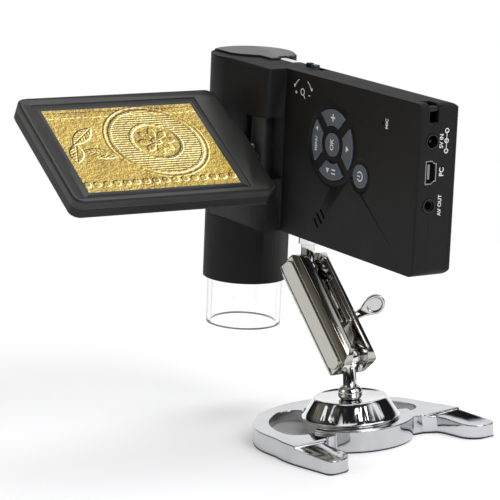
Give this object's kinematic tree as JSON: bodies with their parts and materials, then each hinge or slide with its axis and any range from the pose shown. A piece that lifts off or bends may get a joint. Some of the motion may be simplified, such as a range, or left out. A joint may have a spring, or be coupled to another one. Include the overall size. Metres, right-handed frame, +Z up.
{
  "type": "lcd digital microscope",
  "caption": "Handheld digital microscope with a fold-out display and keypad, held over the table by a ball-jointed arm on a horseshoe base.",
  "frame": {"origin": "middle of the stand's base, on the table", "axes": "+Z up, +X along the head from the lens barrel to the sockets, +Y behind the keypad"},
  "size_m": [0.1666, 0.1707, 0.1654],
  "materials": {
    "felt": "felt sheet",
    "chrome": "polished plating",
    "screw_steel": "bright zinc",
    "brass": "turned brass",
    "shell_black": "soft-touch matte moulding",
    "door_black": "fine textured moulding",
    "cap_black": "satin moulding",
    "pale_plate": "printed film",
    "battery_blue": "shrink sleeve",
    "board_green": "solder mask",
    "chip_black": "moulded packages",
    "tin": "tin plate",
    "key_grey": "satin blue-grey",
    "mat_silicone": "silicone",
    "socket_black": "moulded nylon",
    "wheel_black": "knurled",
    "lens_glass": "coated",
    "lamp_board": "white solder mask",
    "lamp": "clear lamps",
    "clear_acrylic": "clear moulding",
    "bezel_charcoal": "fine satin",
    "cover_charcoal": "fine satin",
    "picture": "lit display"
  },
  "bodies": {
    "base": {"base_pad": "felt", "base_casting": "chrome", "cone_boss": "chrome", "base_screws": "screw_steel"},
    "lower_stud": {"lower_ball_stud": "chrome", "stud_nut": "screw_steel", "lock_nut": "chrome"},
    "arm": {"arm_bar_left": "chrome", "arm_bar_right": "chrome", "clamp_washer": "screw_steel"},
    "clamp": {"clamp_screw": "chrome", "wing_lever": "chrome"},
    "upper_stud": {"upper_ball_stud": "chrome", "jam_nut": "chrome"},
    "head": {"tripod_bush": "brass", "front_shell": "shell_black", "rear_shell": "shell_black", "barrel_cap": "cap_black", "top_plate": "pale_plate", "battery": "battery_blue", "main_board": "board_green", "board_chips": "chip_black", "card_socket": "tin", "key_board": "board_green", "key_mat": "mat_silicone", "speaker": "chip_black", "microphone": "tin", "dc_socket": "socket_black", "usb_socket": "tin", "av_socket": "socket_black", "strap_bar": "socket_black", "shell_screws": "screw_steel", "lens_chassis": "chip_black", "guide_rods": "screw_steel", "sensor_board": "board_green", "image_sensor": "chip_black", "lamp_board": "lamp_board", "lamps": "lamp", "barrel_window": "lens_glass", "tube_collar": "chip_black"},
    "key_ok": {"key_ok": "key_grey"},
    "key_up": {"key_up": "key_grey"},
    "key_down": {"key_down": "key_grey"},
    "key_left": {"key_left": "key_grey"},
    "key_right": {"key_right": "key_grey"},
    "key_power": {"key_power": "key_grey"},
    "slider": {"lamp_slider": "socket_black", "slider_cap": "key_grey"},
    "carriage": {"lens_carriage": "chip_black", "lens_glass": "lens_glass"},
    "wheel": {"focus_wheel": "wheel_black"},
    "door": {"battery_door": "door_black"},
    "tube": {"clear_tube": "clear_acrylic"},
    "pins": {"hinge_pins": "screw_steel"},
    "drum": {"hinge_drum": "shell_black"},
    "axle": {"lcd_axle": "screw_steel"},
    "display": {"lcd_bezel": "bezel_charcoal", "lcd_rear_cover": "cover_charcoal", "lcd_module": "picture", "lcd_fittings": "screw_steel"}
  },
  "joints": [
    {"name": "arm_swivel", "type": "hinge", "parent": "base", "child": "lower_stud", "pos_m": [0, 0, 0.0168], "axis": [0, 0, 1], "continuous": true},
    {"name": "arm_tilt", "type": "hinge", "parent": "lower_stud", "child": "arm", "pos_m": [0, 0, 0.03616], "axis": [0.0385, -0.9993, 0], "range_deg": [-40, 8]},
    {"name": "clamp_turn", "type": "hinge", "parent": "arm", "child": "clamp", "pos_m": [-0.01184, -0.00046, 0.0505], "axis": [-0.1398, 0.9866, -0.084], "range_deg": [0, 180]},
    {"name": "head_tilt", "type": "hinge", "parent": "arm", "child": "upper_stud", "pos_m": [-0.02878, -0.00111, 0.07102], "axis": [-0.0914, 0.9948, -0.0438], "range_deg": [-35, 5]},
    {"name": "head_swivel", "type": "hinge", "parent": "upper_stud", "child": "head", "pos_m": [-0.02757, -0.00027, 0.08756], "axis": [0.0731, 0.0506, 0.996], "range_deg": [-60, 120]},
    {"name": "press_ok", "type": "slide", "parent": "head", "child": "key_ok", "axis": [-0.0037, 0.9987, -0.0505], "range_m": [0, 0.0005], "stiffness_N_per_m": 300},
    {"name": "press_up", "type": "slide", "parent": "head", "child": "key_up", "axis": [-0.0037, 0.9987, -0.0505], "range_m": [0, 0.0005], "stiffness_N_per_m": 300},
    {"name": "press_down", "type": "slide", "parent": "head", "child": "key_down", "axis": [-0.0037, 0.9987, -0.0505], "range_m": [0, 0.0005], "stiffness_N_per_m": 300},
    {"name": "press_left", "type": "slide", "parent": "head", "child": "key_left", "axis": [-0.0037, 0.9987, -0.0505], "range_m": [0, 0.0005], "stiffness_N_per_m": 300},
    {"name": "press_right", "type": "slide", "parent": "head", "child": "key_right", "axis": [-0.0037, 0.9987, -0.0505], "range_m": [0, 0.0005], "stiffness_N_per_m": 300},
    {"name": "press_power", "type": "slide", "parent": "head", "child": "key_power", "axis": [-0.0037, 0.9987, -0.0505], "range_m": [0, 0.0005], "stiffness_N_per_m": 300},
    {"name": "lamp_slide", "type": "slide", "parent": "head", "child": "slider", "axis": [0.9973, 0, -0.0732], "range_m": [0, 0.0055]},
    {"name": "focus_turn", "type": "hinge", "parent": "head", "child": "wheel", "pos_m": [-0.07562, 0.01389, 0.11175], "axis": [0.9973, 0, -0.0732], "range_deg": [-120, 160]},
    {"name": "lens_slide", "type": "slide", "parent": "head", "child": "carriage", "axis": [0.0731, 0.0506, 0.996], "range_m": [-0.0078, 0.0058]},
    {"name": "door_slide", "type": "slide", "parent": "head", "child": "door", "axis": [0.9973, 0, -0.0732], "range_m": [0, 0.048]},
    {"name": "tube_pull", "type": "slide", "parent": "head", "child": "tube", "axis": [-0.0731, -0.0506, -0.996], "range_m": [0, 0.012]},
    {"name": "lcd_swing", "type": "hinge", "parent": "head", "child": "pins", "pos_m": [-0.04186, -0.01388, 0.12644], "axis": [0.0731, 0.0506, 0.996], "range_deg": [0, 69]},
    {"name": "lcd_shut", "type": "hinge", "parent": "pins", "child": "drum", "pos_m": [-0.04186, -0.01388, 0.12644], "axis": [0.0731, 0.0506, 0.996], "range_deg": [0, 23.6]},
    {"name": "lcd_level", "type": "hinge", "parent": "drum", "child": "axle", "pos_m": [-0.04186, -0.01388, 0.12644], "axis": [0.0415, 0.9977, -0.0537], "range_deg": [0, 61.1]},
    {"name": "lcd_twist", "type": "hinge", "parent": "axle", "child": "display", "pos_m": [-0.04186, -0.01388, 0.12644], "axis": [-0.0415, -0.9977, 0.0537], "range_deg": [0, 180]}
  ],
  "couplings": [
    {"joint": "focus_turn", "follows": "lens_slide", "rad_per_m": -357.14},
    {"joint": "lcd_level", "follows": "lcd_swing", "ratio": 0.88406}
  ]
}
